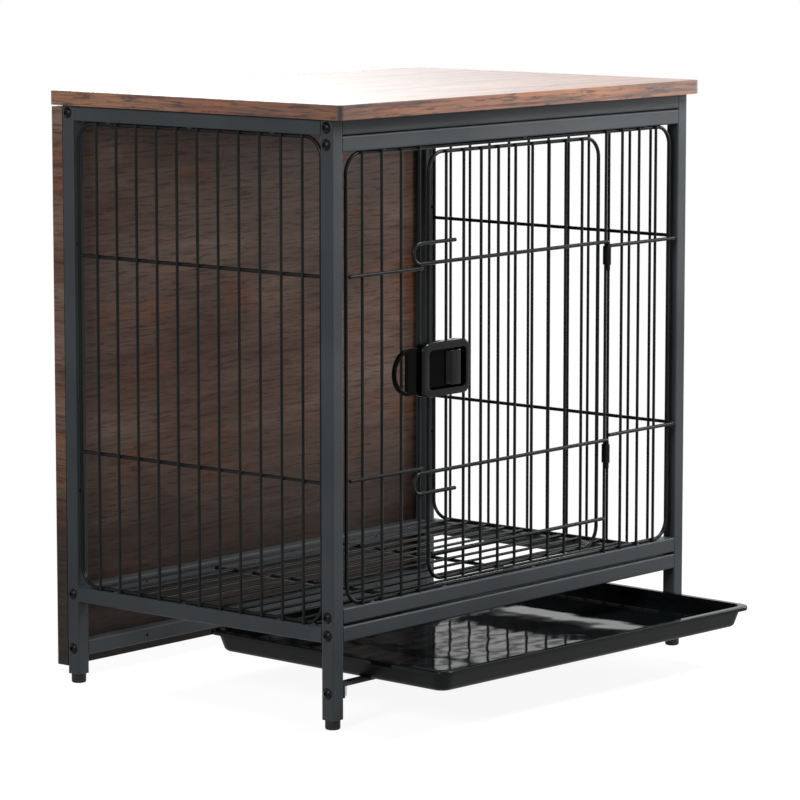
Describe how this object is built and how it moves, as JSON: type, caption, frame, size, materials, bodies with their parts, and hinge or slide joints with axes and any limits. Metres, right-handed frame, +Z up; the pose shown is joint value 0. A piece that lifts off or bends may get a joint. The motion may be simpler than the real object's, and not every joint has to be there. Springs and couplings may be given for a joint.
{
  "type": "dog crate end table",
  "caption": "Dog crate end table: square-tube metal frame, wire walls and door, wood top and back board, pull-out tray.",
  "frame": {"origin": "on the floor plane, under the centre of the frame: midway between the left and right posts and between the front and rear posts", "axes": "+X along the door face from the latch side to the hinge side, +Y from the door face to the back board, +Z up"},
  "size_m": [0.6, 0.5241, 0.63],
  "materials": {
    "wood": "satin",
    "frame_paint": "satin",
    "wire_paint": "satin",
    "latch_plastic": "gloss",
    "foot_plastic": "matt",
    "tray_plastic": "satin",
    "bolt_steel": "satin",
    "inner_steel": "satin"
  },
  "bodies": {
    "frame": {"post_front_left": "frame_paint", "foot_front_left": "foot_plastic", "post_front_right": "frame_paint", "foot_front_right": "foot_plastic", "post_rear_left": "frame_paint", "foot_rear_left": "foot_plastic", "post_rear_right": "frame_paint", "foot_rear_right": "foot_plastic", "top_rail_left": "frame_paint", "floor_rail_left": "frame_paint", "wire_panel_left": "wire_paint", "top_rail_right": "frame_paint", "floor_rail_right": "frame_paint", "wire_panel_right": "wire_paint", "front_top_rail": "frame_paint", "door_top_rail": "frame_paint", "door_bottom_rail": "frame_paint", "front_floor_rail": "frame_paint", "rear_top_rail": "frame_paint", "rear_floor_rail": "frame_paint", "rear_low_rail": "frame_paint", "tray_strip": "frame_paint", "wire_panel_front": "wire_paint", "hinge_clip_upper": "wire_paint", "hinge_clip_lower": "wire_paint", "floor_grid": "wire_paint", "frame_bolts": "bolt_steel", "rail_nuts": "inner_steel", "tabletop_screws": "inner_steel", "back_panel_screws": "inner_steel", "tabletop": "wood", "back_panel": "wood"},
    "door": {"door": "wire_paint", "latch_housing": "latch_plastic", "latch_back": "latch_plastic", "latch_screws": "inner_steel"},
    "latch": {"latch_slider": "latch_plastic"},
    "tray": {"tray": "tray_plastic"}
  },
  "joints": [
    {"name": "door_hinge", "type": "hinge", "parent": "frame", "child": "door", "pos_m": [0.152, -0.1901, 0.35], "axis": [0, 0, 1], "range_deg": [0, 165]},
    {"name": "latch_slide", "type": "slide", "parent": "door", "child": "latch", "axis": [1, 0, 0], "range_m": [0, 0.0065]},
    {"name": "tray_slide", "type": "slide", "parent": "frame", "child": "tray", "axis": [0, -1, 0], "range_m": [-0.122, 0.15]}
  ]
}
